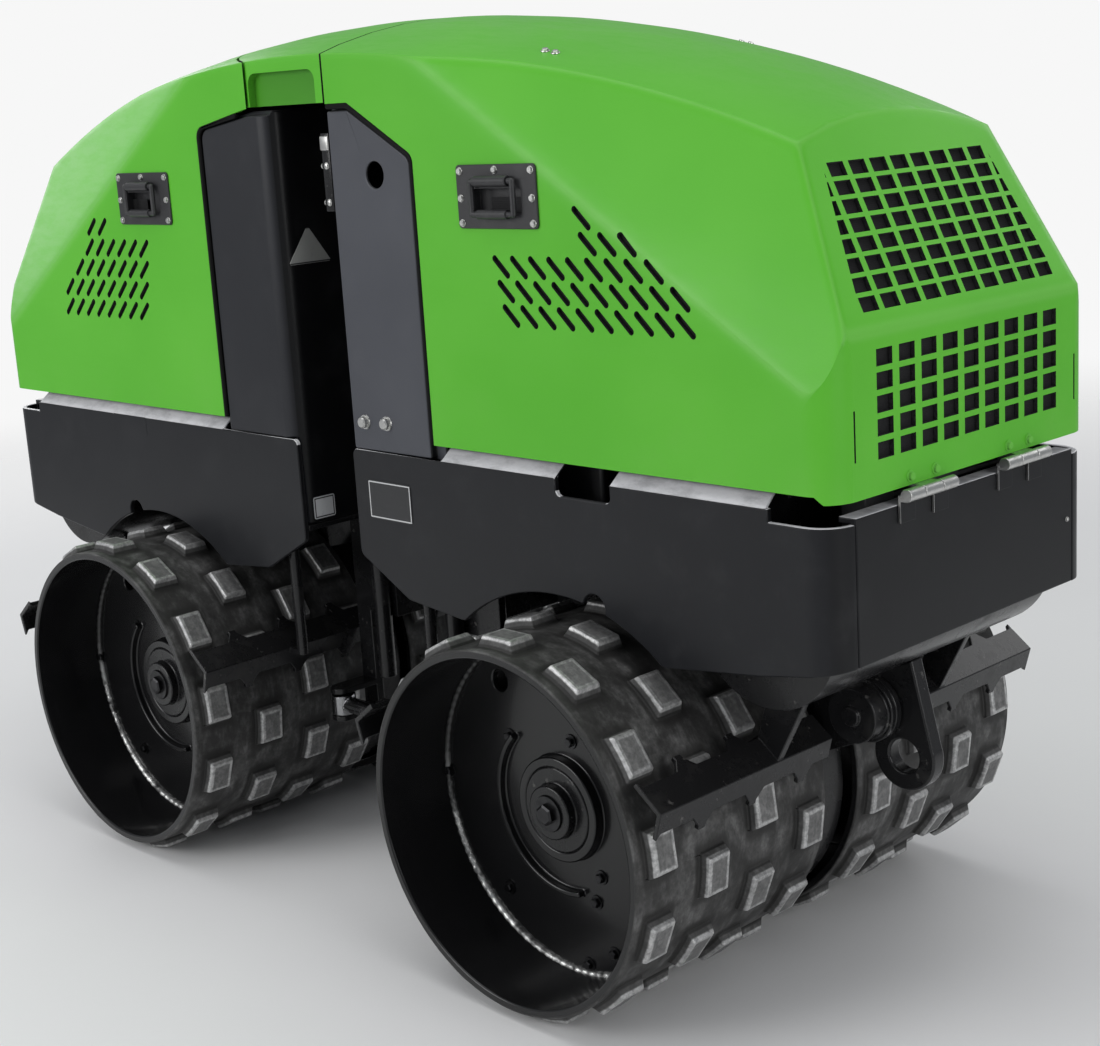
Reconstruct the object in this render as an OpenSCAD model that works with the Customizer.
// Articulated trench roller: two half machines on padded drums, joined by a vertical steering pin.
// X runs from the rear end to the front end, Y across the machine, Z up from the ground.

/* [Drums] */
// Width over both halves of a drum
drum_w = 820; // [780:5:860]
// Radius of the smooth drum shell
shell_r = 250; // [240:1:256]
// Thickness of the drum shell
shell_t = 12; // [8:1:16]
// Height of a pad above the shell
pad_h = 14; // [8:1:18]
// Length of a pad around the drum
pad_l = 68; // [50:1:76]
// Width of a pad across the drum
pad_w = 50; // [36:1:60]
// Number of pads in one row around the drum
pads_around = 13; // [10:1:14]
// Number of pad rows on each half drum
pad_rows = 4; // [3:1:4]
// Gap between the two halves of a drum
drum_split = 72; // [66:1:84]
// Distance between the two axles
wheelbase = 955; // [935:5:975]
// Depth of the outer dish in a drum
dish_depth = 125; // [90:5:150]

/* [Body] */
// Distance from the steering pin to an end panel
body_half_l = 938; // [925:1:955]
// Width over the side plates
body_w = 556; // [540:2:570]
// Thickness of the side plates and end panels
plate_t = 8; // [5:1:10]
// Height of the top edge of the side plates
side_top_z = 719; // [712:1:724]
// Height of the lowest edge of the side plates
side_low_z = 494; // [480:1:510]
// Height of the lower edge at the two ends
end_low_z = 530; // [515:1:545]
// Gap between the front and rear side plates
centre_gap = 136; // [132:1:150]
// Radius of the upright corners
corner_r = 43; // [36:1:50]
// Room between the pads and the wheel arch
arch_gap = 32; // [26:1:38]
// Height of the deck that carries the machinery
deck_z = 584; // [580:1:592]

/* [Hood] */
// Height of the lower edge of the hoods
hood_z = 740; // [737:1:744]
// Height of the crown of the hoods
hood_top_z = 1324; // [1316:1:1334]
// Height at which an upright end starts to lean
bend_z = 921; // [910:1:935]
// Height of the top of the leaning end
brow_z = 1135; // [1125:1:1145]
// How far the top of the leaning end lies behind its foot
brow_inset = 102; // [90:1:115]
// Half width of the top of the leaning end
brow_half_w = 193; // [185:1:205]
// Wall thickness of the hoods
hood_t = 6; // [5:1:7]
// Rise of the crown across the width
crown_h = 45; // [38:1:50]
// Radius of the crown along the length
crown_r = 2170; // [2100:10:2300]

/* [Groove between the halves] */
// Gap between the two pillars
pillar_gap = 138; // [134:1:142]
// Height of the top of the cut-out in the hood flanks
groove_top_z = 1209; // [1200:1:1215]
// Half length of the cut-out
cut_half = 253; // [245:1:260]
// Half length of the flat top of the cut-out
cut_flat = 121; // [116:1:130]
// Height of the lower end of the front bevel of the cut-out
front_bevel_z = 1135; // [1125:1:1150]
// Height of the lower end of the rear bevel of the cut-out
rear_bevel_z = 1185; // [1175:1:1195]

/* [Grilles] */
// Width of a grille hole
hole_w = 31; // [26:1:33]
// Height of a grille hole
hole_h = 18; // [14:1:19]
// Rows of holes in the leaning grille
upper_rows = 8; // [6:1:8]
// Rows of holes in the upright grille
lower_rows = 5; // [4:1:5]
// Columns of holes in the upright grille
lower_columns = 9; // [7:1:9]

/* [Steering] */
// Radius of the steering pin
pin_r = 22; // [18:1:24]
// Room between an end of the steering cylinder and the pads
steer_clear = 55.5; // [54.5:0.5:56.5]
// Distance of the steering cylinder from the middle
steer_y = 170; // [168:1:172]

/* [Hidden] */

// Fits and overruns shared by all pieces
over = 1;
reach = 3000;
run_gap = 0.05;
seat_gap = 0.3;
round_fn = 48;
small_fn = 24;

// Drum values
drum_z = shell_r + pad_h;
axle_x = wheelbase / 2;
half_drum_w = (drum_w - drum_split) / 2;
row_end_share = 0.15;
row_share = 0.42;
row_pitch = half_drum_w / (pad_rows - row_end_share);
pad_top_share = 0.78;
disc_t = 12;
disc_y = drum_w / 2 - dish_depth;
axle_r = 60;
axle_bore_r = 50;
shaft_r = 20;
shaft_end_gap = 4;
bearing_t = 22;
weight_r = 43;
weight_l = 150;
weight_y = 52;
hub_r = 74;
hub_rise = 16;
cap_r = 38;
cap_rise = 14;
crescent_r = 125;
crescent_t = 8;
crescent_rise = 12;
crescent_start = 135;
crescent_sweep = 149;
filler_r = 15;
filler_at = 195;
filler_angle = 126;

// Body values
half_w = body_w / 2;
plate_x = centre_gap / 2;
inner_w = half_w - plate_t;
arch_r = drum_z + arch_gap;
deck_t = 8;
heel_rise = 67;
heel_step = 11;
hood_over = 2;
heel_z = side_low_z + heel_rise;
heel_x = 172;
heel_low_z = side_low_z + heel_step;
belly_x = 283;
plate_notch_r = 20;
notch_angle = 76;
strip_rise = 16;
strip_in = 20;
strip_t = 4;
strip_x1 = 840;
corner_drop = 16;
strip_end_gap = 4;
pocket_x = 490;
pocket_l = 98;
pocket_h = 24;
pocket_r = 8;
panel_side_gap = 1.5;
panel_drop = 9;
panel_top_z = side_top_z - panel_drop;
panel_lip = 26;
pan_r = 108;
pan_x = 800;
pan_z = 562;
pan_t = 6;
pan_half_w = 238;
flange_share = 6;
flange_w_share = 0.8;
side_corner_r = 14;
side_heel_r = 10;
side_end_r = 30;
arch_share = 0.66;
rake_in = 117;
rake_rise = 17;
strip_foot_share = 1.6;

// Hood values
hood_half_l = body_half_l + hood_over;
crown_z = hood_top_z - crown_r;
cross_r = (crown_h * crown_h + half_w * half_w) / (2 * crown_h);
crease_x = 265;
crease_z = crown_z + sqrt(pow(crown_r - crown_h, 2) - crease_x * crease_x);
tip_x = hood_half_l - corner_r;
tip_drop = 58;
tip_z = bend_z - tip_drop;
brow_x = hood_half_l - brow_inset;
lean = atan2(brow_inset, brow_z - bend_z);
seam = 4;
cover_half_l = 106;
cover_r = norm([cover_half_l, half_w]);
seam_steps = 72;
cover_foot_l = 32;
cover_foot_t = 8;
cover_clear = 10;
cover_foot_half_w = half_w - hood_t - cover_clear;
patch_depth = 12;
patch_x1 = 53;
patch_r = 16;
patch_drop = 4;
cut_top_r = 10;
cut_side_r = 18;
cover_lift = 2;
bevel_share = 0.4;
flat_share = 0.3;
trim_w = 8;
trim_t = 9;
trim_out = 1.5;
rear_trim_x = sqrt(pow(cover_r + 2 * seam, 2) - pow(half_w - trim_t, 2));

// Vent slots in the flanks: how many in each row, and where the row starts, from the top row down
slot_l = 40;
slot_w = 9;
slot_pitch = 33.5;
slot_row_pitch = 31.5;
front_slot_z = 1053;
front_slot_counts = [1, 3, 9, 10, 10];
front_slot_x = 415;
front_slot_starts_share = [4.5, 4.75, 0, 0.2, 0.4];
rear_slot_z = 1034;
rear_slot_row_pitch = 34;
rear_slot_counts = [2, 6, 7, 8, 8];
rear_slot_x = 436;
rear_slot_starts_share = [3.6, 0, 0.15, 0.35, 0.55];
slot_tilt = 43;

// Grille values
hole_bar = 10;
hole_bar_h = 5.6;
hole_pitch_w = hole_w + hole_bar;
hole_pitch_h = hole_h + hole_bar_h;
upper_half_columns = 5;
lower_bar = 13;
lower_bar_h = 9;
lower_rise = 2;
upper_low_w = 206;
upper_high_w = 166;
upper_edge = 20;
lower_pitch_w = hole_w + lower_bar;
lower_pitch_h = hole_h + lower_bar_h;
lower_hole_h = hole_h + lower_rise;
lower_grille_z = 768;

// Handle values
handle_x = 417;
handle_z = 1080;
handle_w = 150;
handle_h = 82;
handle_t = 3;
handle_r = 6;
dish_w = 96;
dish_h = 44;
dish_deep = 14;
dish_wall = 2;
dish_drop = 8;
bail_r = 4;
bail_tube_r = 7;
bail_tube_l = 62;
bail_drop = 42;
bail_w = 78;
bail_grip_r = 6;
bail_rise = 20;
bail_z = handle_z + bail_rise;
grip_share = 0.36;
bail_y = half_w + handle_t + bail_tube_r;

// Hinge values
hinge_y = 104;
hinge_l = 98;
hinge_out = 10;
hinge_r = 8;
hinge_pin_r = 4;
hinge_drop = 18;
hinge_z = hood_z - hinge_drop;
hinge_x = hood_half_l + hinge_out;
skirt_z = hinge_z + hinge_r + seat_gap;
skirt_in = 29;
skirt_x = hood_half_l - skirt_in;
skirt_run = 11;
corner_slot_y = 235;
corner_slot_z = 775;
corner_slot_h = 60;
corner_slot_w = 3;
knuckle_l = 30;
knuckle_gap = 1;
leaf_t = 4;
leaf_h = 34;

// Pillar values
pillar_x = pillar_gap / 2;
pillar_over = 9;
pillar_in = 14;
face_in = 2;
face_gap = 2;
front_bend_r = 8;
rear_bend_r = 30;
pillar_drop = 4;
pillar_end = cut_half + pillar_over;
strip_gap = 2;
strip_x0 = pillar_end + strip_gap;
pillar_y = half_w - pillar_in;
face_y = half_w - face_in;
pillar_t = 5;
pillar_top_z = groove_top_z - pillar_drop;
lock_hole_r = 18;
lock_hole_x = 168;
lock_hole_z = 1110;
lock_w = 26;
lock_t = 6;
lock_l = 120;
lock_in = 6;
lock_drop = 30;
lock_bolt_r = 8;
lock_bolt_t = 9;
lock_bolt_z = 48;
lock_bolt_pitch = 62;

// Leg and scraper values
leg_t = 52;
leg_r = 232;
mount_h = 28;
leg_head_t = 8;
leg_head_z = deck_z - deck_t - mount_h - leg_head_t;
leg_neck_share = 0.5;
arm_root_share = 0.62;
leg_head_l = 250;
leg_head_half_w = 118;
arm_x = 317;
arm_z = 131;
motor_r = 44;
motor_l = 42;
motor_flange_t = 9;
motor_body_share = 0.86;
motor_boss_share = 0.3;
motor_boss_t = 5;
arm_gap = 2;
leg_shoulder_r = 40;
mount_r = 26;
mount_x = 86;
mount_y = 80;
scraper_bend = [293, 99];
scraper_top = [243, 138];
scraper_low = [279, 50];
scraper_t = 7;
scraper_y0 = 73;
scraper_end = 5;
scraper_y1 = drum_w / 2 - scraper_end;
notch_foot = 5;
notch_slope = 12;
notch_deep = 21;
notch_half_w = pad_w / 2 + notch_foot;
step_deep = 6;
hanger_r = 9;
hanger_y = 235;
hanger_in = 22;
bracket_y = 172;
bracket_t = 12;
bracket_w = 34;
bracket_in = 10;
bracket_tuck = 5;
eye_r = 47;
eye_hole_r = 23;
eye_x = 361;
eye_z = 70;
eye_t = 24;
eye_rib_in = 3;
eye_rib_out_share = 0.94;
eye_rib_z_share = 0.34;
eye_foot_in = 4;
eye_foot_out = 52;
eye_foot_drop = 8;

// Articulation values
steer_x = axle_x - drum_z - steer_clear;
lug_r = 42;
lug_t = 20;
lug_drop = 44;
lug_top_z = deck_z - lug_drop;
lug_low_z = 404;
lug_step = 2;
beam_t = 18;
beam_half_w = 110;
beam_low_z = 400;
gusset_t = 14;
steer_ear_r = 18;
gusset_end = steer_x + steer_ear_r;
beam_gap = 2;
lug_root = 4;
lug_share = 0.8;
steer_z = 255;
steer_pin_r = 8;
steer_eye_r = 20;
steer_eye_h = 34;
clevis_t = 10;
post_r = 14;
post_y = 125;
post_low_z = 302;
barrel_r = 27;
barrel_out = 104;
barrel_l = 2 * steer_x - barrel_out;
barrel_neck_wall = 4;
barrel_neck = 26;
barrel_bore_l = barrel_l - barrel_neck - barrel_neck_wall;
rod_grip_share = 15 / 26;
rod_tail = steer_x - barrel_l + barrel_bore_l * rod_grip_share;
rod_r = 13;
rod_slack = 4.6;
rod_offset = 3.9;
pin_head_t = 8;
pin_head_share = 1.5;
neck_share = 0.6;
eye_share = 0.95;

// Machinery values
cooler_in = 70;
cooler_x = body_half_l - cooler_in;
cooler_t = 36;
cooler_w = 340;
cooler_h = 270;
shroud_r = 113;
fin_count = 16;
fin_t = 6;
fin_l = 16;
bearing_x = 16;
fan_bearing_r = 26;
stub_x = 4;
stub_r = 8;
fan_out = 8;
fan_t = 22;
fan_hub_r = 30;
blade_count = 7;
blade_root = 20;
blade_angle = 32;
blade_t = 4;
blade_w = 32;
blade_l = 82;
box_r = 18;
oil_h = 290;
cap_big_r = 28;
cap_small_r = 16;
cap_h = 28;
battery_x = 330;
battery_l = 190;
battery_in = 58;
battery_y = -half_w + battery_in;
battery_w = 120;
battery_h = 170;
battery_r = 6;
oil_gap = 40;
oil_cooler_gap = 68;
oil_in = 46;
oil_x = battery_x + battery_l + oil_gap;
oil_y = -half_w + oil_in;
oil_l = cooler_x - oil_cooler_gap - oil_x;
oil_w = 200;
pole_r = 9;
pole_h = 16;
control_y = 40;
control_l = 190;
control_w = 160;
control_h = 150;
control_r = 10;
lid_out = 5;
lid_t = 10;
aerial_r = 5;
aerial_h = 120;
engine_x = 440;
engine_l = 240;
engine_w = 300;
foot_h = 30;
foot_in = 20;
foot_l = 50;
foot_w = 40;
foot_y = 130;
case_h = 150;
bank_y = 88;
bank_angle = 38;
cylinder_fins = 7;
fin_half_l = 72;
fin_half_w = 52;
head_half_l = 50;
head_half_w = 40;
head_h = 98;
head_sink = 50;
blower_z = 135;
blower_r = 118;
blower_l = 70;
pump_l = 76;
pump_w = 110;
pump_h = 90;
pump_z = 70;
muffler_z = 272;
muffler_in = 40;
muffler_l = 190;
muffler_r = 50;
saddle_in = 60;
saddle_l = 24;
saddle_w = 24;
tail_l = 60;
tail_r = 16;
fuel_x = 270;
fuel_l = 76;
fuel_w = 440;
fuel_h = 380;

// Unit vector
function unit(v) = v / norm(v);

// Points of one rounded corner of an outline, from the corner and its two neighbours
function corner_points(a, b, c, r) =
    r == 0 ? [b] :
    let (u = unit(a - b), v = unit(c - b), half = acos(u * v) / 2,
         mid = b + unit(u + v) * (r / sin(half)),
         s = unit(b + u * (r / tan(half)) - mid), e = unit(b + v * (r / tan(half)) - mid))
    [for (i = [0:6]) mid + r * unit(s * (6 - i) + e * i)];

// Outline with each corner rounded by its own radius
function rounded(points, radii) =
    let (n = len(points))
    [for (i = [0:n - 1]) each corner_points(points[(i + n - 1) % n], points[i], points[(i + 1) % n], radii[i])];

// Rectangle with round corners, about the origin
module rounded_rect(l, w, r) {
    square([l - 2 * r, w], center = true);
    square([l, w - 2 * r], center = true);
    for (sx = [-1, 1], sy = [-1, 1])
        translate([sx * (l / 2 - r), sy * (w / 2 - r)]) circle(r, $fn = round_fn);
}

// Outline drawn in X and Z, given a width across the machine from y0 to y1
module across(y0, y1) {
    translate([0, y1, 0]) rotate([90, 0, 0]) linear_extrude(y1 - y0) children();
}

// Everything that lies beyond a plane
module beyond(p, n) {
    translate(p) rotate([0, acos(unit(n)[2]), atan2(n[1], n[0])])
        translate([-reach / 2, -reach / 2, 0]) cube(reach);
}

// Copy on both sides of the machine
module both_sides() {
    children();
    mirror([0, 1, 0]) children();
}

// Cylinder that lies across the machine, from y0 to y1
module cross_bar(x, z, r, y0, y1) {
    translate([x, y0, z]) rotate([-90, 0, 0]) cylinder(h = y1 - y0, r = r, $fn = round_fn);
}

// Drums

// One pad, standing up from the shell on +Z, with all four sides sloped
module pad() {
    root = pad_h + shell_t / 2;
    translate([0, 0, shell_r - shell_t / 2]) intersection() {
        rotate([90, 0, 0]) linear_extrude(pad_w, center = true)
            polygon([[-pad_l / 2, 0], [pad_l / 2, 0],
                     [pad_l * pad_top_share / 2, root], [-pad_l * pad_top_share / 2, root]]);
        rotate([90, 0, 90]) linear_extrude(pad_l, center = true)
            polygon([[-pad_w / 2, 0], [pad_w / 2, 0],
                     [pad_w * pad_top_share / 2, root], [-pad_w * pad_top_share / 2, root]]);
    }
}

// The right half of a drum, about its own axle: shell, pads, disc, hub and crescent
module half_drum() {
    rotate([90, 0, 0]) difference() {
        union() {
            translate([0, 0, drum_split / 2]) cylinder(h = half_drum_w, r = shell_r, $fn = 96);
            for (row = [0:pad_rows - 1], k = [0:pads_around - 1])
                rotate([0, 0, -90 + (k + (row % 2) / 2) * 360 / pads_around])
                    translate([0, 0, drum_split / 2 + row_pitch * (row + row_share)])
                        rotate([0, 90, 0]) rotate([0, 0, 90]) pad();
        }
        translate([0, 0, disc_y]) cylinder(h = half_drum_w, r = shell_r - shell_t, $fn = 96);
        translate([0, 0, -over]) cylinder(h = disc_y - disc_t + over, r = shell_r - shell_t, $fn = 96);
        translate([0, 0, disc_y - disc_t - over]) cylinder(h = disc_t + 2 * over, r = axle_r + run_gap,
                                                           $fn = round_fn);
        rotate([0, 0, filler_angle]) translate([filler_at, 0, disc_y - disc_t - over])
            cylinder(h = disc_t + 2 * over, r = filler_r, $fn = small_fn);
    }
    rotate([90, 0, 0]) translate([0, 0, disc_y - over / 2]) {
        difference() {
            cylinder(h = hub_rise, r = hub_r, $fn = round_fn);
            translate([0, 0, -over]) cylinder(h = hub_rise + 2 * over, r = axle_r + run_gap, $fn = round_fn);
        }
        rotate([0, 0, crescent_start]) rotate_extrude(angle = crescent_sweep, $fn = 96)
            translate([crescent_r - crescent_t, 0]) square([crescent_t, crescent_rise]);
    }
}

module drum_right(x) {
    color([0.28, 0.28, 0.28]) translate([x, 0, drum_z]) half_drum();
}

module drum_left(x) {
    color([0.28, 0.28, 0.28]) translate([x, 0, drum_z]) mirror([0, 1, 0]) half_drum();
}

// Hollow axle that carries both halves of a drum, closed by a cap at each end
module axle(x) {
    cap_y = disc_y + hub_rise;
    color([0.12, 0.12, 0.13]) translate([x, 0, drum_z]) {
        difference() {
            cross_bar(0, 0, axle_r, -cap_y, cap_y);
            cross_bar(0, 0, axle_bore_r, -cap_y + cap_rise, cap_y - cap_rise);
        }
        cross_bar(0, 0, cap_r, -cap_y - cap_rise, -cap_y + over);
        cross_bar(0, 0, cap_r, cap_y - over, cap_y + cap_rise);
    }
}

// Eccentric shaft that shakes the drum, on a bearing at each end of the axle bore
module exciter(x) {
    end_y = disc_y + hub_rise - cap_rise - shaft_end_gap;
    color([0.55, 0.55, 0.57]) translate([x, 0, drum_z]) {
        cross_bar(0, 0, shaft_r, -end_y, end_y);
        cross_bar(0, 0, axle_bore_r - run_gap, -end_y, -end_y + bearing_t);
        cross_bar(0, 0, axle_bore_r - run_gap, end_y - bearing_t, end_y);
        both_sides() difference() {
            cross_bar(0, 0, weight_r, -weight_y - weight_l, -weight_y);
            translate([-axle_bore_r, -weight_y - weight_l - over, 0])
                cube([2 * axle_bore_r, weight_l + 2 * over, axle_bore_r]);
        }
    }
}

// Legs, scrapers and what hangs below the body

// Case between the two halves of a drum, with a thin arm to the drive motor and a head under the deck
module leg() {
    color([0.05, 0.05, 0.055]) {
        difference() {
            union() {
                across(-leg_t / 2, leg_t / 2) {
                    translate([axle_x, drum_z]) circle(leg_r, $fn = 96);
                    polygon([[axle_x - leg_head_l / 2, drum_z + leg_r * leg_neck_share],
                             [axle_x - leg_head_l / 2, leg_head_z + over],
                             [axle_x + leg_head_l / 2, leg_head_z + over],
                             [axle_x + leg_head_l / 2, drum_z + leg_r * leg_neck_share]]);
                }
                across(-leg_t / 2, -eye_t / 2 - arm_gap) {
                    translate([axle_x + arm_x, drum_z + arm_z]) circle(motor_r, $fn = round_fn);
                    polygon([[axle_x, leg_head_z], [axle_x + leg_head_l / 2, leg_head_z],
                             [axle_x + arm_x, drum_z + arm_z + motor_r],
                             [axle_x + arm_x, drum_z + arm_z - motor_r],
                             [axle_x + leg_r * leg_neck_share, drum_z]]);
                }
            }
            cross_bar(axle_x, drum_z, axle_r + run_gap, -leg_t, leg_t);
        }
        translate([axle_x - leg_head_l / 2, -leg_head_half_w, leg_head_z])
            cube([leg_head_l, 2 * leg_head_half_w, leg_head_t]);
    }
}

// Four rubber blocks that keep the shaking leg off the deck
module rubber_mounts() {
    low = leg_head_z + leg_head_t;
    color([0.03, 0.03, 0.03])
        for (sx = [-1, 1], sy = [-1, 1])
            translate([axle_x + sx * mount_x, sy * mount_y, low])
                cylinder(h = deck_z - deck_t - low, r = mount_r, $fn = round_fn);
}

// Hydraulic motor with its flange, on the arm of the leg
module drive_motor() {
    x = axle_x + arm_x;
    z = drum_z + arm_z;
    y0 = -leg_t / 2 - seat_gap;
    color([0.07, 0.07, 0.075]) {
        cross_bar(x, z, motor_r, y0 - motor_flange_t, y0);
        cross_bar(x, z, motor_r * motor_body_share, y0 - motor_l + motor_boss_t, y0 - over);
        cross_bar(x, z, motor_r * motor_boss_share, y0 - motor_l, y0 - over);
    }
}

// Thick ring for a tie-down hook, on a rib that comes down from the belly pan
module lashing_eye() {
    x = axle_x + eye_x;
    z = drum_z + eye_z;
    foot_z = pan_z - pan_r;
    color([0.06, 0.06, 0.065]) difference() {
        across(-eye_t / 2, eye_t / 2) {
            translate([x, z]) circle(eye_r, $fn = round_fn);
            polygon([[x - eye_r + eye_rib_in, z], [x + eye_r * eye_rib_out_share, z + eye_r * eye_rib_z_share],
                     [pan_x + eye_foot_out, foot_z + 2 * eye_foot_drop], [pan_x + eye_foot_in, foot_z - eye_foot_drop]]);
        }
        cross_bar(x, z, eye_hole_r, -eye_t, eye_t);
        cross_bar(pan_x, pan_z, pan_r + seat_gap, -eye_t, eye_t);
    }
}

// Notches at the pad rows along the free edge of one leaf of a scraper, cut square to the leaf
module scraper_notches(edge) {
    leaf = edge - scraper_bend;
    w = norm(leaf);
    translate([scraper_bend[0], 0, scraper_bend[1]]) rotate([0, -atan2(leaf[1], leaf[0]), 0])
        for (row = [0:pad_rows - 1])
            translate([0, -drum_split / 2 - row_pitch * (row + row_share), -2 * scraper_t])
                linear_extrude(4 * scraper_t)
                    polygon([[w + over, -notch_half_w - notch_slope], [w - step_deep, -notch_half_w - notch_slope],
                             [w - notch_deep, -notch_half_w], [w - notch_deep, notch_half_w],
                             [w - step_deep, notch_half_w + notch_slope], [w + over, notch_half_w + notch_slope]]);
}

// Toothed angle bars, one on each side of the leg, in the axle's own place
module scraper_bars() {
    up = unit(scraper_top - scraper_bend);
    down = unit(scraper_low - scraper_bend);
    n_up = [-up[1], up[0]];
    n_down = [down[1], -down[0]];
    both_sides() difference() {
        across(-scraper_y1, -scraper_y0)
            polygon([scraper_bend, scraper_top, scraper_top + scraper_t * n_up,
                     scraper_bend + scraper_t * (n_up + n_down) / (1 + n_up * n_down),
                     scraper_low + scraper_t * n_down, scraper_low]);
        scraper_notches(scraper_top);
        scraper_notches(scraper_low);
    }
}

// Scraper at the outer end of the machine, on two brackets from the belly pan
module outer_scraper() {
    x = axle_x + scraper_bend[0];
    z = drum_z + scraper_bend[1];
    low = pan_z - pan_r * cos(45);
    color([0.05, 0.05, 0.055]) {
        translate([axle_x, 0, drum_z]) scraper_bars();
        both_sides() difference() {
            across(-bracket_y - bracket_t, -bracket_y)
                polygon([[x - bracket_w, z + bracket_w - bracket_in], [x - bracket_tuck, z - bracket_tuck],
                         [pan_x + bracket_w, low], [pan_x - bracket_w, low]]);
            cross_bar(pan_x, pan_z, pan_r + seat_gap, -hanger_y, 0);
        }
    }
}

// Scraper between the drums, hung from the deck by two round hangers
module inner_scraper() {
    x = axle_x - scraper_bend[0] - hanger_in;
    z = drum_z + scraper_bend[1];
    color([0.05, 0.05, 0.055]) {
        translate([axle_x, 0, drum_z]) mirror([1, 0, 0]) scraper_bars();
        both_sides() {
            translate([x, -hanger_y, z - hanger_r])
                cylinder(h = deck_z - deck_t - seat_gap - z + hanger_r, r = hanger_r, $fn = small_fn);
            translate([x, -hanger_y - hanger_r, z - hanger_r])
                cube([hanger_in + 2 * scraper_t, 2 * hanger_r, hanger_r]);
        }
    }
}

// Frame of one half

// Outline of a side plate, seen from the side
module side_outline() {
    difference() {
        polygon(rounded(
            [[plate_x, side_top_z], [plate_x, heel_z], [heel_x, heel_low_z], [belly_x, side_low_z],
             [axle_x + arch_r * arch_share, side_low_z], [body_half_l - rake_in, side_low_z + rake_rise],
             [body_half_l + over, end_low_z], [body_half_l + over, side_top_z - corner_drop],
             [strip_x1 + strip_end_gap, side_top_z - corner_drop], [strip_x1 + strip_end_gap, side_top_z]],
            [side_heel_r, side_corner_r, side_corner_r, 0, 0, side_end_r, 0, 0, 0, 0]));
        translate([axle_x, drum_z]) circle(arch_r, $fn = 96);
        translate([axle_x + arch_r * cos(notch_angle), drum_z + arch_r * sin(notch_angle)])
            circle(plate_notch_r, $fn = small_fn);
        translate([pocket_x + pocket_l / 2, side_top_z])
            rounded_rect(pocket_l, 2 * pocket_h, pocket_r);
    }
}

// Right side plate of the front half, with its round upright corner and sloped top strips
module side_plate() {
    color([0.22, 0.225, 0.24]) {
        intersection() {
            linear_extrude(hood_z) difference() {
                rounded_rect(2 * body_half_l, body_w, corner_r);
                rounded_rect(2 * (body_half_l - plate_t), body_w - 2 * plate_t, corner_r - plate_t);
            }
            across(-half_w - over, -half_w + corner_r) side_outline();
        }
        for (span = [[strip_x0, pocket_x], [pocket_x + pocket_l, strip_x1]])
            translate([span[0], 0, side_top_z - over / 2]) rotate([90, 0, 90]) linear_extrude(span[1] - span[0])
                polygon([[-half_w, 0], [-half_w + strip_t * strip_foot_share, 0], [-half_w + strip_in + strip_t, strip_rise],
                         [-half_w + strip_in, strip_rise]]);
    }
}

module end_panel() {
    w = half_w - corner_r - panel_side_gap;
    color([0.15, 0.155, 0.17]) {
        translate([body_half_l - plate_t, -w, end_low_z]) cube([plate_t, 2 * w, panel_top_z - end_low_z]);
        translate([body_half_l - panel_lip, -w, panel_top_z - plate_t]) cube([panel_lip, 2 * w, plate_t]);
        translate([body_half_l - panel_lip, -w, end_low_z]) cube([panel_lip, 2 * w, plate_t / 2]);
    }
}

// Deck, belly pan, end flange, and the box beam at the steering pin with its two end posts
module chassis_common() {
    flange_h = flange_share * deck_t;
    tall = deck_z - over - beam_low_z;
    translate([0, 0, deck_z - deck_t]) linear_extrude(deck_t) intersection() {
        rounded_rect(2 * (body_half_l - plate_t - seat_gap), 2 * (inner_w - seat_gap), corner_r - plate_t);
        translate([plate_x, -half_w]) square([body_half_l, body_w]);
    }
    translate([body_half_l - 2 * plate_t - seat_gap, -pan_half_w * flange_w_share, deck_z - flange_h])
        cube([plate_t, 2 * pan_half_w * flange_w_share, flange_h - over]);
    difference() {
        cross_bar(pan_x, pan_z, pan_r, -pan_half_w, pan_half_w);
        cross_bar(pan_x, pan_z, pan_r - pan_t, -pan_half_w + pan_t, pan_half_w - pan_t);
        translate([0, -half_w, deck_z - deck_t / 2]) cube([2 * body_half_l, body_w, pan_r * 2]);
    }
    translate([plate_x + beam_gap, -beam_half_w, beam_low_z]) cube([beam_t, 2 * beam_half_w, tall]);
    both_sides() {
        translate([plate_x + beam_gap, -beam_half_w, beam_low_z])
            cube([gusset_end - plate_x - beam_gap, gusset_t, tall]);
        translate([plate_x + beam_gap + beam_t, -post_y, post_low_z])
            cylinder(h = deck_z - over - post_low_z, r = post_r, $fn = round_fn);
    }
    clevis();
}

// Two ears that hold one end of the steering cylinder, on the right of the beam
module clevis() {
    for (z = [steer_z - steer_eye_h / 2 - over - clevis_t, steer_z + steer_eye_h / 2 + over])
        translate([0, 0, z]) linear_extrude(clevis_t) difference() {
            union() {
                translate([steer_x, -steer_y]) circle(steer_ear_r, $fn = round_fn);
                translate([steer_x - steer_ear_r, -steer_y]) square([2 * steer_ear_r, steer_y - beam_half_w + over]);
            }
            translate([steer_x, -steer_y]) circle(steer_pin_r + run_gap, $fn = small_fn);
        }
    low = steer_z - steer_eye_h / 2 - over - clevis_t;
    translate([steer_x - steer_ear_r, -beam_half_w, low])
        cube([2 * steer_ear_r, gusset_t, deck_z - over - low]);
}

// One ear of the steering joint, from the beam to the pin
module lug(z) {
    root_x = plate_x + lug_root;
    root_y = beam_half_w * lug_share;
    translate([0, 0, z]) linear_extrude(lug_t) difference() {
        union() {
            circle(lug_r, $fn = round_fn);
            polygon([[0, -lug_r], [root_x, -root_y], [root_x, root_y], [0, lug_r]]);
        }
        circle(pin_r + run_gap, $fn = round_fn);
    }
}

module front_chassis() {
    color([0.08, 0.08, 0.085]) {
        chassis_common();
        lug(lug_top_z);
        lug(lug_low_z);
    }
}

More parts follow.
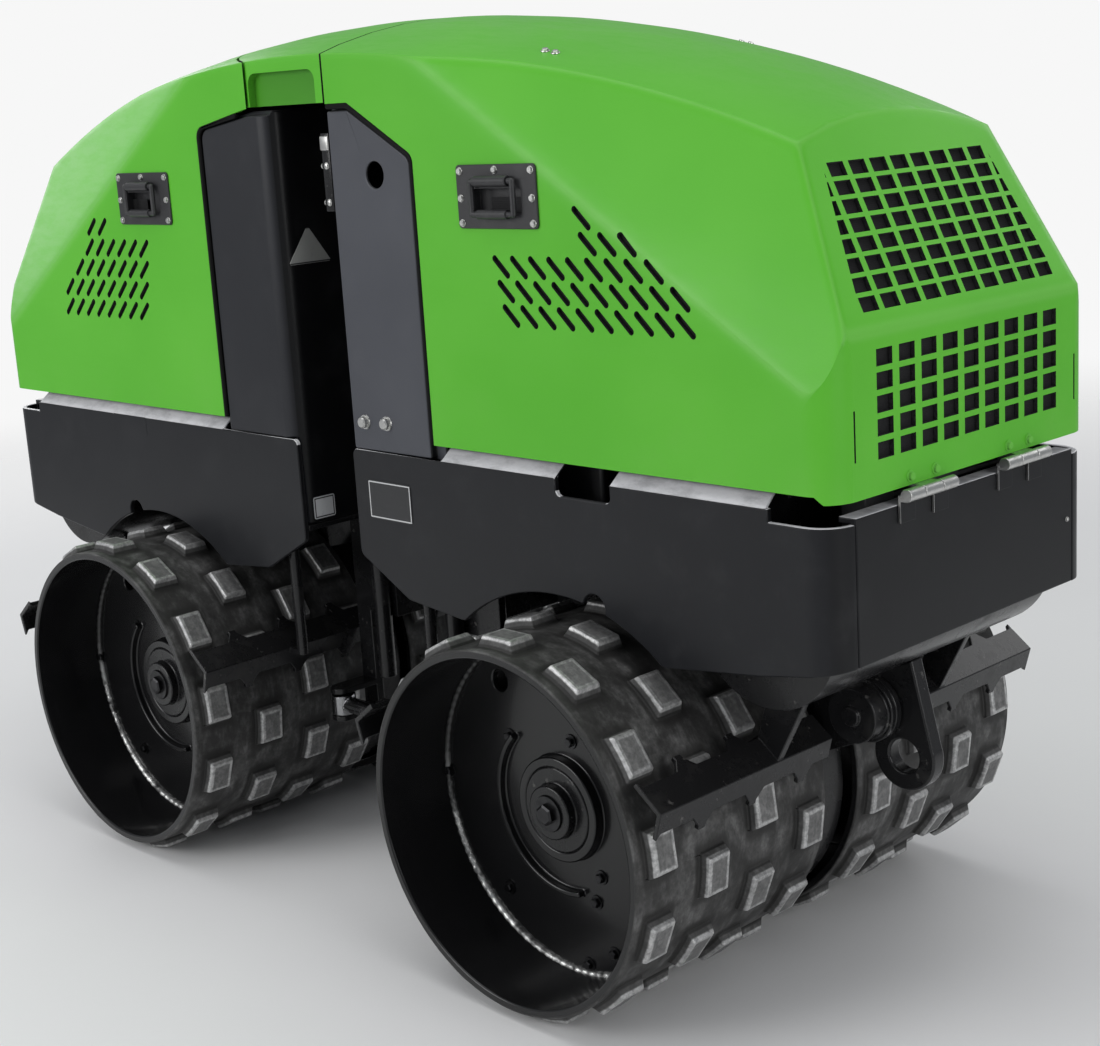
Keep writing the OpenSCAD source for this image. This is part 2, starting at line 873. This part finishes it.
module rear_chassis() {
    pin_h = steer_eye_h + 2 * clevis_t + 2 * over;
    color([0.08, 0.08, 0.085]) mirror([1, 0, 0]) {
        chassis_common();
        lug(lug_top_z - lug_t - lug_step);
        lug(lug_low_z + lug_t + lug_step);
        translate([steer_x, -steer_y, steer_z - pin_h / 2]) cylinder(h = pin_h, r = steer_pin_r, $fn = small_fn);
    }
}

// Outline of a pillar, seen from the side, drawn in by d
module pillar_outline(bevel_z, d) {
    out = d > 0 ? over : 0;
    turn = (pillar_end - cut_flat) / norm([pillar_end - cut_flat, pillar_top_z - bevel_z]);
    fall = (pillar_top_z - bevel_z) / (pillar_end - cut_flat);
    polygon([[pillar_x + d, deck_z - out], [pillar_x + d, pillar_top_z - d],
             [cut_flat + (d - d / turn) / fall, pillar_top_z - d],
             [pillar_end + out, bevel_z - d / turn - out * fall], [pillar_end + out, deck_z - out]]);
}

// Part of a pillar that stands out through the cut-out of the hood, seen from the side, drawn in by d
module face_outline(bevel_z, d) {
    low = side_top_z + seat_gap;
    intersection() {
        cut_outline(bevel_z, -trim_w - face_gap - d, low + d);
        translate([pillar_x + d, low]) square([cut_half, hood_top_z]);
    }
}

// Block of a pillar with its flanks raised, cut to a bend of radius r along the groove, drawn in by d
module pillar_block(bevel_z, r, d) {
    intersection() {
        union() {
            across(-pillar_y + d, pillar_y - d) pillar_outline(bevel_z, d);
            across(-face_y + d, face_y - d) face_outline(bevel_z, d);
        }
        translate([pillar_x + d + cut_half, 0, 0]) linear_extrude(hood_top_z)
            rounded_rect(2 * cut_half, 2 * (face_y - d), r - d);
    }
}

// Folded box that closes one half towards the groove, open towards the machinery
module pillar(bevel_z, r) {
    difference() {
        pillar_block(bevel_z, r, 0);
        pillar_block(bevel_z, r, pillar_t);
    }
}

module front_pillar() {
    color([0.2, 0.205, 0.22]) difference() {
        pillar(front_bevel_z, front_bend_r);
        cross_bar(lock_hole_x, lock_hole_z, lock_hole_r, -half_w, half_w);
    }
}

module rear_pillar() {
    color([0.2, 0.205, 0.22]) mirror([1, 0, 0]) pillar(rear_bevel_z, rear_bend_r);
}

// Steering

module articulation_pin() {
    top = lug_top_z + lug_t;
    color([0.6, 0.6, 0.62]) {
        translate([0, 0, lug_low_z - pin_head_t])
            cylinder(h = top - lug_low_z + pin_head_t + over, r = pin_r, $fn = round_fn);
        translate([0, 0, top + seat_gap]) cylinder(h = pin_head_t, r = pin_r * pin_head_share, $fn = round_fn);
    }
}

// Barrel of the steering cylinder, with the eye and pin at the front clevis
module steering_barrel() {
    pin_h = steer_eye_h + 2 * clevis_t + 2 * over;
    color([0.1, 0.1, 0.11]) {
        translate([steer_x, -steer_y, steer_z - pin_h / 2]) cylinder(h = pin_h, r = steer_pin_r, $fn = small_fn);
        translate([steer_x, -steer_y, steer_z - steer_eye_h / 2])
            cylinder(h = steer_eye_h, r = steer_ear_r * eye_share, $fn = round_fn);
        difference() {
            union() {
                translate([steer_x, -steer_y, steer_z]) rotate([0, -90, 0])
                    cylinder(h = barrel_l, r = barrel_r * neck_share, $fn = round_fn);
                translate([steer_x - barrel_neck, -steer_y, steer_z]) rotate([0, -90, 0])
                    cylinder(h = barrel_l - barrel_neck, r = barrel_r, $fn = round_fn);
            }
            translate([steer_x - barrel_l - over, -steer_y, steer_z]) rotate([0, 90, 0])
                cylinder(h = barrel_bore_l + over, r = rod_r + run_gap, $fn = round_fn);
        }
    }
}

// Rod of the steering cylinder, with a slack eye on the rear pin
module steering_rod() {
    eye_x0 = -steer_x + rod_offset;
    color([0.8, 0.8, 0.82]) difference() {
        union() {
            translate([eye_x0, -steer_y, steer_z - steer_eye_h / 2 + over])
                cylinder(h = steer_eye_h - 2 * over, r = steer_eye_r, $fn = round_fn);
            translate([eye_x0, -steer_y, steer_z]) rotate([0, 90, 0])
                cylinder(h = rod_tail - eye_x0, r = rod_r, $fn = round_fn);
        }
        translate([eye_x0, -steer_y, steer_z - steer_eye_h])
            cylinder(h = 2 * steer_eye_h, r = steer_pin_r + rod_slack, $fn = round_fn);
    }
}

// Flat bar that locks the steering for transport, stowed on the front pillar, with its two bolts
module articulation_lock() {
    y = -pillar_y + lock_in;
    x = pillar_x - lock_t - seat_gap;
    color([0.7, 0.7, 0.72]) {
        translate([x, y, pillar_top_z - lock_drop - lock_l]) cube([lock_t, lock_w, lock_l]);
        for (k = [0, 1])
            translate([x + over, y + lock_w / 2, pillar_top_z - lock_bolt_z - k * lock_bolt_pitch])
                rotate([0, -90, 0]) linear_extrude(lock_bolt_t + over)
                    polygon([for (i = [0:5]) lock_bolt_r * [cos(i * 60), sin(i * 60)]]);
    }
}

// Hoods

// Crowned block from which the top of the hoods is taken, drawn in by d
module crown(d) {
    steps = 12;
    w = half_w + 2 * corner_r;
    translate([0, 0, crown_z]) rotate([90, 0, 0]) rotate_extrude($fn = 240)
        polygon(concat(
            [[0, -w]],
            [for (i = [0:steps]) let (y = w * (2 * i / steps - 1))
                [crown_r - d - cross_r + sqrt(cross_r * cross_r - y * y), y]],
            [[0, w]]));
}

// Outward normal of a flank bevel, from its three corners
function bevel_normal(sx, sy) =
    let (a = [sx * crease_x, sy * half_w, crease_z], b = [sx * tip_x, sy * half_w, tip_z],
         c = [sx * brow_x, sy * brow_half_w, brow_z], n = unit(cross(b - a, c - a)))
    n[2] < 0 ? -n : n;

// Solid outer form of both hoods, drawn in by d, from the height low upwards
module hood_form(d, low) {
    difference() {
        intersection() {
            crown(d);
            translate([0, 0, low]) linear_extrude(hood_top_z)
                rounded_rect(2 * (hood_half_l - d), body_w - 2 * d, corner_r - d);
        }
        for (sx = [-1, 1]) {
            n = unit([sx * (brow_z - bend_z), 0, brow_inset]);
            beyond([sx * hood_half_l, 0, bend_z] - d * n, n);
            for (sy = [-1, 1]) {
                m = bevel_normal(sx, sy);
                beyond([sx * crease_x, sy * half_w, crease_z] - d * m, m);
            }
        }
    }
}

module hood_shell(low) {
    difference() {
        hood_form(0, low);
        hood_form(hood_t, low - over);
    }
}

// Outline of the cut-out of one hood flank from height low, seen from the side, grown by g
module cut_outline(bevel_z, g, low) {
    polygon(rounded(
        [[-over, low], [-over, groove_top_z + g], [cut_flat + g * flat_share, groove_top_z + g],
         [cut_half + g, bevel_z + g * bevel_share], [cut_half + g, low]],
        [0, 0, cut_top_r, cut_side_r, 0]));
}

// Hole pattern of the leaning grille, drawn flat: the outer columns are cut by the sloped edges
module upper_holes() {
    rows_h = upper_rows * hole_pitch_h;
    intersection() {
        for (i = [0:upper_rows - 1], j = [-upper_half_columns:upper_half_columns - 1])
            translate([(j + 1 / 2) * hole_pitch_w, (i + 1 / 2) * hole_pitch_h])
                square([hole_w, hole_h], center = true);
        polygon([[-upper_low_w, 0], [upper_low_w, 0], [upper_high_w, rows_h], [-upper_high_w, rows_h]]);
    }
}

module lower_holes() {
    for (i = [0:lower_rows - 1], j = [0:lower_columns - 1])
        translate([(j - (lower_columns - 1) / 2) * lower_pitch_w, (i + 1 / 2) * lower_pitch_h])
            square([hole_w, lower_hole_h], center = true);
}

// Both grilles of the front end, as cutters
module grille_cutters() {
    translate([hood_half_l, 0, bend_z]) rotate([0, -lean, 0]) translate([-hood_t * 3, 0, upper_edge])
        rotate([90, 0, 90]) linear_extrude(hood_t * 6) upper_holes();
    translate([hood_half_l - hood_t * 2, 0, lower_grille_z]) rotate([90, 0, 90])
        linear_extrude(hood_t * 4) lower_holes();
}

// One slanted vent slot
module slot(tilt) {
    rotate(tilt) {
        square([slot_l - slot_w, slot_w], center = true);
        for (s = [-1, 1]) translate([s * (slot_l - slot_w) / 2, 0]) circle(slot_w / 2, $fn = 16);
    }
}

// Vent slots on both flanks of a front hood
module slot_cutters(counts, x0, starts, z0, row_pitch_z, tilt) {
    across(-half_w - over, half_w + over)
        for (i = [0:len(counts) - 1], j = [0:counts[i] - 1])
            translate([x0 + (starts[i] + j) * slot_pitch, z0 - i * row_pitch_z]) slot(tilt);
}

module handle_window() {
    across(-half_w - over, half_w + over)
        translate([handle_x, handle_z - dish_drop / 2])
            rounded_rect(dish_w + 2 * seat_gap, dish_h + 2 * seat_gap, handle_r);
}

// Round block about the steering pin that shapes the seam of the rear hood, in flat steps
module seam_disc(r) {
    linear_extrude(hood_top_z + over)
        polygon([for (i = [0:seam_steps - 1]) r * [cos(i * 360 / seam_steps), sin(i * 360 / seam_steps)]]);
}

// Front hood, from the seam with the centre cover to the front end
module front_hood() {
    color([0.37, 0.71, 0.24]) difference() {
        hood_shell(skirt_z);
        translate([-reach + pillar_x + seam, -half_w - over, 0]) cube([reach, body_w + 2 * over, reach]);
        across(-half_w - over, half_w + over) {
            cut_outline(front_bevel_z, 0, hood_z - over);
            polygon([[0, skirt_z - over], [0, hood_z], [skirt_x, hood_z], [skirt_x + skirt_run, skirt_z - over]]);
        }
        for (y = [-corner_slot_y, corner_slot_y])
            translate([hood_half_l - 2 * hood_t, y - corner_slot_w / 2, corner_slot_z])
                cube([4 * hood_t, corner_slot_w, corner_slot_h]);
        grille_cutters();
        slot_cutters(front_slot_counts, front_slot_x, front_slot_starts_share, front_slot_z,
                     slot_row_pitch, -slot_tilt);
        handle_window();
    }
}

// Rear hood, from a round seam about the steering pin to the rear end
module rear_hood() {
    color([0.37, 0.71, 0.24]) mirror([1, 0, 0]) difference() {
        hood_shell(hood_z);
        translate([-reach, -half_w - over, 0]) cube([reach, body_w + 2 * over, reach]);
        translate([0, 0, groove_top_z - over]) seam_disc(cover_r + seam);
        across(-half_w - over, half_w + over) cut_outline(rear_bevel_z, 0, hood_z - over);
        grille_cutters();
        slot_cutters(rear_slot_counts, rear_slot_x, rear_slot_starts_share, rear_slot_z,
                     rear_slot_row_pitch, -slot_tilt);
        handle_window();
    }
}

// Strip over the groove between the hoods, fixed to the front pillar, with a shallow patch in each flank
module centre_cover() {
    low = groove_top_z + cover_lift;
    flank = half_w - patch_depth;
    color([0.3, 0.6, 0.2]) {
        difference() {
            intersection() {
                hood_form(0, low);
                seam_disc(cover_r);
                translate([-reach + pillar_x, -half_w - over, 0]) cube([reach, body_w + 2 * over, reach]);
            }
            hood_form(hood_t + patch_depth, low - over);
            both_sides() across(-half_w - over, -flank)
                polygon(rounded([[-cover_half_l, low - over], [-cover_half_l, crease_z - patch_drop],
                                 [patch_x1, crease_z - patch_drop], [patch_x1, low - over]],
                                [0, patch_r, patch_r, 0]));
        }
        translate([pillar_x - 2 * hood_t, -cover_foot_half_w, pillar_top_z + seat_gap])
            cube([cover_foot_l + hood_t, 2 * cover_foot_half_w, cover_foot_t]);
    }
}

// Rubber edging round the cut-out of a hood, on both flanks, from x0 on
module hood_trim(bevel_z, x0) {
    color([0.03, 0.03, 0.03]) both_sides() across(-half_w - trim_out, -half_w + trim_t) difference() {
        intersection() {
            cut_outline(bevel_z, 0, hood_z - over);
            translate([x0, hood_z]) square([cut_half, hood_top_z]);
        }
        cut_outline(bevel_z, -trim_w, hood_z - 2 * over);
    }
}

// Handle plates with a sunk dish and a hinge tube, one on each flank
module handle_plates() {
    dish_z = handle_z - dish_drop / 2;
    color([0.12, 0.12, 0.13]) both_sides() {
        difference() {
            union() {
                across(-half_w - handle_t, -half_w) translate([handle_x, handle_z])
                    rounded_rect(handle_w, handle_h, handle_r);
                across(-half_w - over, -half_w + dish_deep) translate([handle_x, dish_z])
                    rounded_rect(dish_w, dish_h, handle_r - over);
                translate([handle_x - bail_tube_l / 2, -bail_y, bail_z]) rotate([0, 90, 0])
                    cylinder(h = bail_tube_l, r = bail_tube_r, $fn = small_fn);
            }
            across(-half_w - 2 * bail_tube_r, -half_w + dish_deep - dish_wall) translate([handle_x, dish_z - dish_wall])
                rounded_rect(dish_w - 2 * dish_wall, dish_h - 6 * dish_wall, handle_r - dish_wall);
            translate([handle_x - bail_tube_l, -bail_y, bail_z]) rotate([0, 90, 0])
                cylinder(h = 2 * bail_tube_l, r = bail_r + run_gap, $fn = small_fn);
        }
    }
}

// Fold-down bail that hangs over the dish
module bail() {
    low_z = bail_z - bail_drop;
    color([0.14, 0.14, 0.15]) {
        translate([handle_x - bail_w / 2, -bail_y, bail_z]) rotate([0, 90, 0])
            cylinder(h = bail_w, r = bail_r, $fn = small_fn);
        for (s = [-1, 1])
            translate([handle_x + s * bail_w / 2, -bail_y, low_z]) cylinder(h = bail_drop, r = bail_r, $fn = small_fn);
        for (s = [-1, 1], z = [bail_z, low_z])
            translate([handle_x + s * bail_w / 2, -bail_y, z]) sphere(bail_r, $fn = small_fn);
        translate([handle_x - bail_w / 2, -bail_y, low_z]) rotate([0, 90, 0])
            cylinder(h = bail_w, r = bail_r, $fn = small_fn);
        translate([handle_x - bail_w * grip_share, -bail_y, low_z]) rotate([0, 90, 0])
            cylinder(h = 2 * bail_w * grip_share, r = bail_grip_r, $fn = small_fn);
    }
}

// Hinges

// One knuckle of a hood hinge
module knuckle(y0, y1) {
    translate([hinge_x, y0, hinge_z]) rotate([-90, 0, 0]) cylinder(h = y1 - y0, r = hinge_r, $fn = small_fn);
}

// Outer knuckles, leaves and pins, fixed to the end panel
module hinge_leaves() {
    color([0.72, 0.73, 0.75]) for (y = [-hinge_y, hinge_y]) {
        difference() {
            union() {
                knuckle(y - hinge_l / 2, y - hinge_l / 2 + knuckle_l);
                knuckle(y + hinge_l / 2 - knuckle_l, y + hinge_l / 2);
                for (k = [y - hinge_l / 2, y + hinge_l / 2 - knuckle_l])
                    translate([body_half_l + seat_gap, k, hinge_z - leaf_h])
                        cube([leaf_t, knuckle_l, leaf_h]);
                for (k = [y - hinge_l / 2, y + hinge_l / 2 - knuckle_l])
                    translate([body_half_l + seat_gap, k, hinge_z - hinge_r])
                        cube([hinge_x - body_half_l, knuckle_l, leaf_t]);
            }
            translate([hinge_x, y - hinge_l, hinge_z]) rotate([-90, 0, 0])
                cylinder(h = 2 * hinge_l, r = hinge_pin_r, $fn = small_fn);
        }
        translate([hinge_x, y - hinge_l / 2, hinge_z]) rotate([-90, 0, 0])
            cylinder(h = hinge_l, r = hinge_pin_r, $fn = small_fn);
    }
}

// Middle knuckles and leaves, fixed inside the end of a hood
module hood_hinges() {
    y0 = -hinge_l / 2 + knuckle_l + knuckle_gap;
    inner_x = hood_half_l - hood_t - seat_gap - leaf_t;
    color([0.72, 0.73, 0.75]) for (y = [-hinge_y, hinge_y]) difference() {
        union() {
            knuckle(y + y0, y - y0);
            translate([inner_x, y + y0, hinge_z + hinge_r - leaf_t])
                cube([hinge_x - inner_x, -2 * y0, leaf_t]);
            translate([inner_x, y + y0, hinge_z + hinge_r - leaf_t]) cube([leaf_t, -2 * y0, leaf_h]);
        }
        translate([hinge_x, y - hinge_l, hinge_z]) rotate([-90, 0, 0])
            cylinder(h = 2 * hinge_l, r = hinge_pin_r + run_gap, $fn = small_fn);
    }
}

// Machinery on the decks

// Finned oil cooler behind the grilles, with a shroud and a bearing for its fan
module oil_cooler() {
    mid_z = deck_z + cooler_h / 2;
    color([0.5, 0.52, 0.54]) {
        difference() {
            translate([cooler_x, -cooler_w / 2, deck_z]) cube([cooler_t, cooler_w, cooler_h]);
            translate([cooler_x - over, 0, mid_z]) rotate([0, 90, 0])
                cylinder(h = cooler_t + 2 * over, r = shroud_r, $fn = round_fn);
        }
        for (k = [1:fin_count])
            translate([cooler_x + cooler_t / 2, -cooler_w / 2 + over,
                       deck_z + k * cooler_h / (fin_count + 1) - fin_t / 2])
                cube([fin_l, cooler_w - 2 * over, fin_t]);
        translate([cooler_x + bearing_x, 0, mid_z]) rotate([0, 90, 0])
            cylinder(h = cooler_t / 2, r = fan_bearing_r, $fn = small_fn);
        translate([cooler_x + stub_x, 0, mid_z]) rotate([0, 90, 0])
            cylinder(h = cooler_t / 2, r = stub_r, $fn = small_fn);
    }
}

// Axial fan that turns on the cooler's stub shaft
module cooler_fan() {
    color([0.1, 0.1, 0.1]) translate([cooler_x - fan_out, 0, deck_z + cooler_h / 2]) difference() {
        union() {
            rotate([0, 90, 0]) cylinder(h = fan_t, r = fan_hub_r, $fn = small_fn);
            for (k = [0:blade_count - 1])
                rotate([k * 360 / blade_count, 0, 0]) translate([fan_t / 2, 0, blade_root])
                    rotate([0, 0, blade_angle]) translate([-blade_t / 2, -blade_w / 2, 0])
                        cube([blade_t, blade_w, blade_l]);
        }
        translate([-over, 0, 0]) rotate([0, 90, 0]) cylinder(h = fan_t + 2 * over, r = stub_r + run_gap,
                                                             $fn = small_fn);
    }
}

// Box with round upright corners, standing on the deck in the front half
module deck_box(x, y, l, w, h, r) {
    translate([x + l / 2, y + w / 2, deck_z]) linear_extrude(h) rounded_rect(l, w, r);
}

// Cap or stub that stands on a box
module deck_cap(x, y, z, r, h) {
    translate([x, y, z - over]) cylinder(h = h + over, r = r, $fn = small_fn);
}

module hydraulic_tank() {
    color([0.12, 0.12, 0.13]) {
        deck_box(oil_x, oil_y, oil_l, oil_w, oil_h, box_r);
        deck_cap(oil_x + oil_l / 4, oil_y + oil_w / 3, deck_z + oil_h, cap_big_r, cap_h);
        deck_cap(oil_x + oil_l * 3 / 4, oil_y + oil_w / 3, deck_z + oil_h, cap_small_r, cap_h);
    }
}

module battery() {
    color([0.07, 0.07, 0.08]) {
        deck_box(battery_x, battery_y, battery_l, battery_w, battery_h, battery_r);
        for (k = [1, 5])
            deck_cap(battery_x + k * battery_l / 6, battery_y + battery_w / 4, deck_z + battery_h, pole_r, pole_h);
    }
}

module control_box() {
    color([0.2, 0.2, 0.22]) {
        deck_box(battery_x, control_y, control_l, control_w, control_h, control_r);
        translate([0, 0, control_h - over])
            deck_box(battery_x - lid_out, control_y - lid_out, control_l + 2 * lid_out, control_w + 2 * lid_out,
                     lid_t, control_r);
        deck_cap(battery_x + control_l * 3 / 4, control_y + control_w / 2, deck_z + control_h + lid_t - over,
                 aerial_r, aerial_h);
    }
}

// Air-cooled twin: crankcase on feet, two finned cylinders in a V, blower housing and pump
module engine() {
    mid_x = engine_x + engine_l / 2;
    color([0.35, 0.35, 0.36]) mirror([1, 0, 0]) {
        translate([engine_x, -engine_w / 2, deck_z + foot_h]) cube([engine_l, engine_w, case_h]);
        for (x = [engine_x + foot_in, engine_x + engine_l - foot_in - foot_l], y = [-foot_y, foot_y - foot_w])
            translate([x, y, deck_z]) cube([foot_l, foot_w, foot_h + over]);
        for (side = [-1, 1])
            translate([mid_x, side * bank_y, deck_z + foot_h + case_h - over]) rotate([-side * bank_angle, 0, 0]) {
                for (k = [0:cylinder_fins - 1])
                    translate([-fin_half_l, -fin_half_w, k * 2 * fin_t]) cube([2 * fin_half_l, 2 * fin_half_w, fin_t]);
                translate([-head_half_l, -head_half_w, -head_sink])
                    cube([2 * head_half_l, 2 * head_half_w, head_h + head_sink]);
            }
        translate([engine_x + engine_l - over, 0, deck_z + blower_z]) rotate([0, 90, 0])
            cylinder(h = blower_l + over, r = blower_r, $fn = round_fn);
        translate([engine_x - pump_l, -pump_w / 2, deck_z + pump_z]) cube([pump_l + over, pump_w, pump_h]);
    }
}

// Silencer on two saddles over the crankcase, with its tail pipe
module muffler() {
    mid_z = deck_z + muffler_z;
    color([0.3, 0.28, 0.26]) mirror([1, 0, 0]) {
        translate([engine_x + muffler_in, 0, mid_z]) rotate([0, 90, 0])
            cylinder(h = muffler_l, r = muffler_r, $fn = round_fn);
        for (x = [saddle_in, engine_l - saddle_in])
            translate([engine_x + x, -saddle_w / 2, deck_z + foot_h + case_h + seat_gap])
                cube([saddle_l, saddle_w, muffler_z - foot_h - case_h - seat_gap]);
        translate([engine_x + muffler_in + muffler_l - over, 0, mid_z]) rotate([0, 90, 0])
            cylinder(h = tail_l + over, r = tail_r, $fn = small_fn);
    }
}

module fuel_tank() {
    color([0.1, 0.1, 0.1]) mirror([1, 0, 0]) {
        deck_box(fuel_x, -fuel_w / 2, fuel_l, fuel_w, fuel_h, box_r);
        deck_cap(fuel_x + fuel_l / 2, -fuel_w / 3, deck_z + fuel_h, cap_big_r, cap_h);
    }
}

front_chassis();
side_plate();  // front_side_plate_right
mirror([0, 1, 0]) side_plate();  // front_side_plate_left
end_panel();  // front_end_panel
front_pillar();
leg();  // front_leg
rubber_mounts();  // front_rubber_mounts
lashing_eye();  // front_lashing_eye
outer_scraper();  // front_outer_scraper
inner_scraper();  // front_inner_scraper
drive_motor();  // front_drive_motor
hinge_leaves();  // front_hinge_leaves
centre_cover();
oil_cooler();
cooler_fan();
hydraulic_tank();
battery();
control_box();
articulation_lock();
articulation_pin();
steering_barrel();
steering_rod();
drum_right(axle_x);  // front_drum_right
drum_left(axle_x);  // front_drum_left
axle(axle_x);  // front_axle
exciter(axle_x);  // front_exciter
front_hood();
hood_trim(front_bevel_z, pillar_x + seam);  // front_hood_trim
handle_plates();  // front_handle_plates
hood_hinges();  // front_hood_hinges
bail();  // front_bail_right
mirror([0, 1, 0]) bail();  // front_bail_left
rear_chassis();
mirror([1, 0, 0]) side_plate();  // rear_side_plate_right
mirror([1, 0, 0]) mirror([0, 1, 0]) side_plate();  // rear_side_plate_left
mirror([1, 0, 0]) end_panel();  // rear_end_panel
rear_pillar();
mirror([1, 0, 0]) leg();  // rear_leg
mirror([1, 0, 0]) rubber_mounts();  // rear_rubber_mounts
mirror([1, 0, 0]) lashing_eye();  // rear_lashing_eye
mirror([1, 0, 0]) outer_scraper();  // rear_outer_scraper
mirror([1, 0, 0]) inner_scraper();  // rear_inner_scraper
mirror([1, 0, 0]) drive_motor();  // rear_drive_motor
mirror([1, 0, 0]) hinge_leaves();  // rear_hinge_leaves
engine();
muffler();
fuel_tank();
drum_right(-axle_x);  // rear_drum_right
drum_left(-axle_x);  // rear_drum_left
axle(-axle_x);  // rear_axle
exciter(-axle_x);  // rear_exciter
rear_hood();
mirror([1, 0, 0]) hood_trim(rear_bevel_z, rear_trim_x);  // rear_hood_trim
mirror([1, 0, 0]) handle_plates();  // rear_handle_plates
mirror([1, 0, 0]) hood_hinges();  // rear_hood_hinges
mirror([1, 0, 0]) bail();  // rear_bail_right
mirror([1, 0, 0]) mirror([0, 1, 0]) bail();  // rear_bail_left
